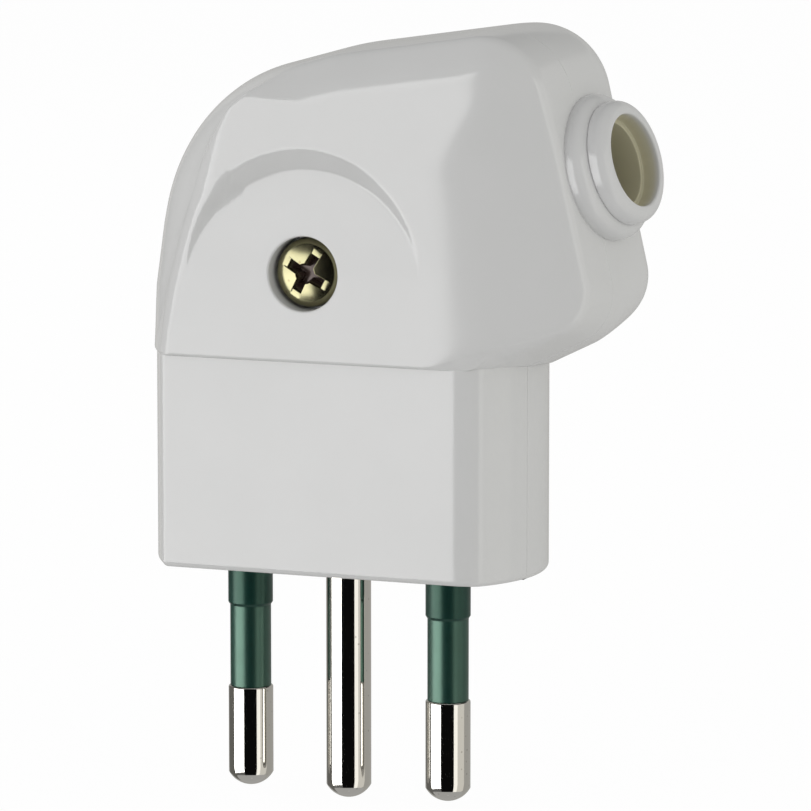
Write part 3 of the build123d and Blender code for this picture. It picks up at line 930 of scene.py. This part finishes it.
# cover screw: pan head with a stamped cross recess

screw = {
    "headRadius": 3.05, "headHeight": 2.0, "sunk": 0.5, "crown": 0.62, "edge": 0.55, "turn": 61.0,
    "armLength": 2.35, "armHalf": 0.46, "armDraft": 0.08, "armRamp": 1.8, "rampDrop": 0.16, "armEnd": 0.4,
    "heart": 0.9, "heartDraft": 0.22, "depth": 1.7, "ease": 0.06, "recessShadeFrom": 0.2, "recessShadeRun": 0.6,
    "poleRadius": 0.02, "fineRadius": 2.4, "rowGap": 0.02, "fineRows": 100, "edgeRows": 20, "segments": 360,
}


def recessDepth(reach, local):
    # four drafted arms with sloped ends round a wider heart
    s = screw
    cut = np.clip((s["heart"] - reach) / s["heartDraft"], 0, s["depth"])
    for k in range(4):
        x = reach * np.cos(local - k * math.pi / 2)
        y = np.abs(reach * np.sin(local - k * math.pi / 2))
        slope = np.clip((s["armLength"] - x) / (s["armLength"] - s["armRamp"]), -1, 1) * s["rampDrop"]
        end = slope + np.maximum(s["armRamp"] - x, 0) / s["armEnd"]
        arm = np.minimum((s["armHalf"] - y) / s["armDraft"], end)
        cut = np.maximum(cut, np.where(x > 0, np.clip(arm, 0, s["depth"]), 0))
    return np.sqrt(cut ** 2 + s["ease"] ** 2) - s["ease"]


def screwHead():
    s, h = screw, housing
    fine = np.linspace(s["poleRadius"], s["fineRadius"], s["fineRows"])
    coarse = np.linspace(s["fineRadius"] + s["rowGap"], s["headRadius"], s["edgeRows"])
    radii = np.concatenate([fine, coarse])
    angles = np.linspace(0, 2 * math.pi, s["segments"], endpoint=False)
    reach, angle = np.meshgrid(radii, angles, indexing="ij")
    edge = np.clip((reach - (s["headRadius"] - s["edge"])) / s["edge"], 0, 1)
    dip = s["crown"] * (reach / s["headRadius"]) ** 2 + s["edge"] * (1 - np.sqrt(1 - edge ** 2))
    cut = recessDepth(reach, angle - math.radians(s["turn"]))
    topY = s["sunk"] - h["halfDepth"]
    x, z = h["screwX"] + reach * np.cos(angle), h["screwZ"] + reach * np.sin(angle)
    head = np.stack([x, topY + dip + cut, z], axis=-1)
    skirt = head[-1:].copy()
    skirt[..., 1] = topY + s["headHeight"]
    rows = np.concatenate([head, skirt])
    pole = tuple(range(len(angles)))
    faces = gridFaces(len(rows), len(angles), True) + [pole]
    mesh = meshFrom("coverScrew", rows.reshape(-1, 3) * mm, faces)
    # painted shade: the cross recess darkens from a little below its top
    wearAndShade = np.clip((cut - s["recessShadeFrom"]) / s["recessShadeRun"], 0, 1)
    layer = mesh.attributes.new("recess", "FLOAT", "POINT")
    layer.data.foreach_set("value", np.concatenate([wearAndShade, np.zeros((1, len(angles)))]).ravel())
    bm = bmesh.new()
    bm.from_mesh(mesh)
    bmesh.ops.recalc_face_normals(bm, faces=bm.faces)
    front = min(bm.faces, key=lambda face: face.calc_center_median().y)
    if front.normal.y > 0:
        bmesh.ops.reverse_faces(bm, faces=bm.faces)
    bm.to_mesh(mesh)
    bm.free()
    shadeSmooth(mesh)
    return newObject("coverScrew", mesh)


coverScrew = screwHead()
finishPiece(coverScrew, yellowZinc, "yellow_zinc", "cover_screw")
print("cover screw made")

# what lies inside keeps the shape of its solid and gets a finish
hidden = {"terminal_screws": zincSteel, "cord_clamp": clampPlastic, "cord_clamp_screws": zincSteel}
for name, material in hidden.items():
    nodes[name].data.materials.clear()
    nodes[name].data.materials.append(material)


# studio: camera, soft boxes, pale floor and cards; target and floorZ in mm, the rest in m

studio = {
    "azimuth": 21.945, "elevation": 8.313, "distance": 0.5, "target": (5.444, 0.0, 14.373),
    "focalPx": 5677.5, "imagePx": 811, "sensor": 36.0, "clip": (0.01, 50.0),
    "floorZ": -21.2, "floorHalf": 6, "floorColour": (0.95, 0.95, 0.95), "floorWhite": 0.97,
    "ambient": 0.58, "cardDistance": 0.55, "cardStep": 3.0, "cardRows": 12,
    "boxes": (
        # name, azimuth, elevation, distance, width, height, radiance, colour
        ("keyBox", -47.0, 6.0, 0.60, 0.86, 0.62, 0.75, (1.0, 1.0, 1.0)),
        ("sideBox", 84.0, 6.0, 0.60, 0.60, 0.60, 0.90, (1.0, 1.0, 0.925)),
        ("leftBox", -108.0, 8.0, 0.60, 0.60, 0.60, 1.25, (1.0, 1.0, 0.985)),
    ),
    "cards": (
        # name, azimuth from and to, elevation from and to, brightness in reflections, colour
        ("keyLow", -74.0, -16.0, -32.0, -6.0, 3.9, (1.0, 1.0, 1.0)),
        ("keyMiddle", -74.0, -16.0, -6.0, 9.0, 3.3, (1.0, 1.0, 1.0)),
        ("keyHigh", -74.0, -16.0, 9.0, 18.0, 3.7, (1.0, 1.0, 1.0)),
        ("roomCard", -16.0, 52.0, -50.0, 75.0, 0.004, (1.0, 1.0, 1.0)),
        ("sideCard", 52.0, 72.0, -50.0, 30.0, 1.28, (1.0, 0.985, 0.94)),
        ("fillCard", 72.0, 112.0, -50.0, 30.0, 0.75, (1.0, 0.98, 0.92)),
        ("greyCard", 112.0, 230.0, -50.0, 30.0, 0.42, (1.0, 0.99, 0.95)),
        ("dimCard", 230.0, 286.0, -50.0, 42.0, 0.15, (1.0, 0.99, 0.93)),
        ("topLeftCard", 230.0, 286.0, 42.0, 75.0, 0.05, (1.0, 1.0, 1.0)),
        ("topFrontCard", 286.0, 344.0, 18.0, 75.0, 0.05, (1.0, 1.0, 1.0)),
        ("topRightCard", 52.0, 230.0, 30.0, 75.0, 0.05, (1.0, 1.0, 1.0)),
        ("ceilingCard", 0.0, 360.0, 75.0, 89.0, 0.05, (1.0, 1.0, 1.0)),
        ("underKey", -74.0, -16.0, -50.0, -32.0, 0.15, (1.0, 1.0, 1.0)),
        ("groundCard", 0.0, 360.0, -89.0, -50.0, 0.45, (1.0, 1.0, 1.0)),
    ),
}
target = Vector(studio["target"]) * mm


def aim(azimuth, elevation, distance):
    # place at an angle and a distance from the middle of the picture
    a, e = math.radians(azimuth), math.radians(elevation)
    ray = Vector((math.sin(a) * math.cos(e), -math.cos(a) * math.cos(e), math.sin(e)))
    return target + distance * ray


def placeFacing(obj, azimuth, elevation, distance):
    obj.location = aim(azimuth, elevation, distance)
    obj.rotation_euler = (target - obj.location).to_track_quat("-Z", "Y").to_euler()


def photoCamera():
    data = bpy.data.cameras.new("photoCamera")
    data.sensor_width = studio["sensor"]
    data.lens = studio["focalPx"] / studio["imagePx"] * studio["sensor"]
    data.clip_start, data.clip_end = studio["clip"]
    camera = newObject("photoCamera", data)
    placeFacing(camera, studio["azimuth"], studio["elevation"], studio["distance"])
    return camera


def softBox(name, azimuth, elevation, distance, width, height, radiance, colour):
    data = bpy.data.lights.new(name, "AREA")
    data.shape = "RECTANGLE"
    data.size, data.size_y = width, height
    data.energy = radiance * math.pi * width * height
    data.color = colour
    lamp = newObject(name, data)
    placeFacing(lamp, azimuth, elevation, distance)
    lamp.visible_glossy = False


def emptyMaterial(name):
    mat = bpy.data.materials.new(name)
    mat.use_nodes = True
    mat.node_tree.nodes.clear()
    return mat, mat.node_tree, mat.node_tree.nodes.new("ShaderNodeOutputMaterial")


def paleFloor():
    # paint that holds the shadow, mostly white where camera and gloss see it
    mat, tree, out = emptyMaterial("paleFloor")
    paint = addNode(tree, "ShaderNodeBsdfDiffuse", Color=(*studio["floorColour"], 1))
    glow = addNode(tree, "ShaderNodeEmission", Strength=1.0)
    path = addNode(tree, "ShaderNodeLightPath")
    seen = addNode(tree, "ShaderNodeMath", operation="MAXIMUM")
    share = addNode(tree, "ShaderNodeMath", operation="MULTIPLY")
    share.inputs[1].default_value = studio["floorWhite"]
    mix = addNode(tree, "ShaderNodeMixShader")
    tree.links.new(path.outputs["Is Camera Ray"], seen.inputs[0])
    tree.links.new(path.outputs["Is Glossy Ray"], seen.inputs[1])
    tree.links.new(seen.outputs[0], share.inputs[0])
    tree.links.new(share.outputs[0], mix.inputs["Fac"])
    tree.links.new(paint.outputs[0], mix.inputs[1])
    tree.links.new(glow.outputs[0], mix.inputs[2])
    tree.links.new(mix.outputs[0], out.inputs["Surface"])
    return mat


def reflectionCard(name, az0, az1, el0, el1, level, colour):
    # curved studio card that only reflections see
    across = np.linspace(az0, az1, 1 + int((az1 - az0) / studio["cardStep"]))
    up = np.linspace(el0, el1, studio["cardRows"])
    verts = [aim(azimuth, elevation, studio["cardDistance"]) for elevation in up for azimuth in across]
    mesh = meshFrom(name, verts, gridFaces(len(up), len(across), False))
    mat, tree, out = emptyMaterial(name)
    mat.cycles.emission_sampling = "NONE"
    glow = addNode(tree, "ShaderNodeEmission", Color=(*colour, 1), Strength=level)
    tree.links.new(glow.outputs[0], out.inputs["Surface"])
    mesh.materials.append(mat)
    card = newObject(name, mesh)
    card.visible_camera = card.visible_diffuse = card.visible_shadow = card.visible_transmission = False


def studioSky():
    # plain ambient light, white where it is looked at
    world = bpy.data.worlds.new("studioWorld")
    world.use_nodes = True
    tree = world.node_tree
    tree.nodes.clear()
    out = addNode(tree, "ShaderNodeOutputWorld")
    sky = addNode(tree, "ShaderNodeBackground", Color=(1, 1, 1, 1))
    path = addNode(tree, "ShaderNodeLightPath")
    seen = addNode(tree, "ShaderNodeMath", operation="MAXIMUM")
    seenOrThrough = addNode(tree, "ShaderNodeMath", operation="MAXIMUM")
    tree.links.new(path.outputs["Is Camera Ray"], seen.inputs[0])
    tree.links.new(path.outputs["Is Glossy Ray"], seen.inputs[1])
    tree.links.new(seen.outputs[0], seenOrThrough.inputs[0])
    tree.links.new(path.outputs["Is Transmission Ray"], seenOrThrough.inputs[1])
    strength = ramp(tree, seenOrThrough.outputs[0], studio["ambient"], 1.0, 0.0, 1.0)
    tree.links.new(strength, sky.inputs["Strength"])
    tree.links.new(sky.outputs[0], out.inputs["Surface"])
    return world


scene.camera = photoCamera()
for entry in studio["boxes"]:
    softBox(*entry)

half = studio["floorHalf"]
floorCorners = [(-half, -half, 0), (half, -half, 0), (half, half, 0), (-half, half, 0)]
floor = newObject("floor", meshFrom("floor", floorCorners, [(0, 1, 2, 3)]))
floor.location.z = studio["floorZ"] * mm
floor.data.materials.append(paleFloor())
floor.visible_glossy = False

for entry in studio["cards"]:
    reflectionCard(*entry)

scene.world = studioSky()
scene.view_settings.view_transform = "Standard"
print("studio set")
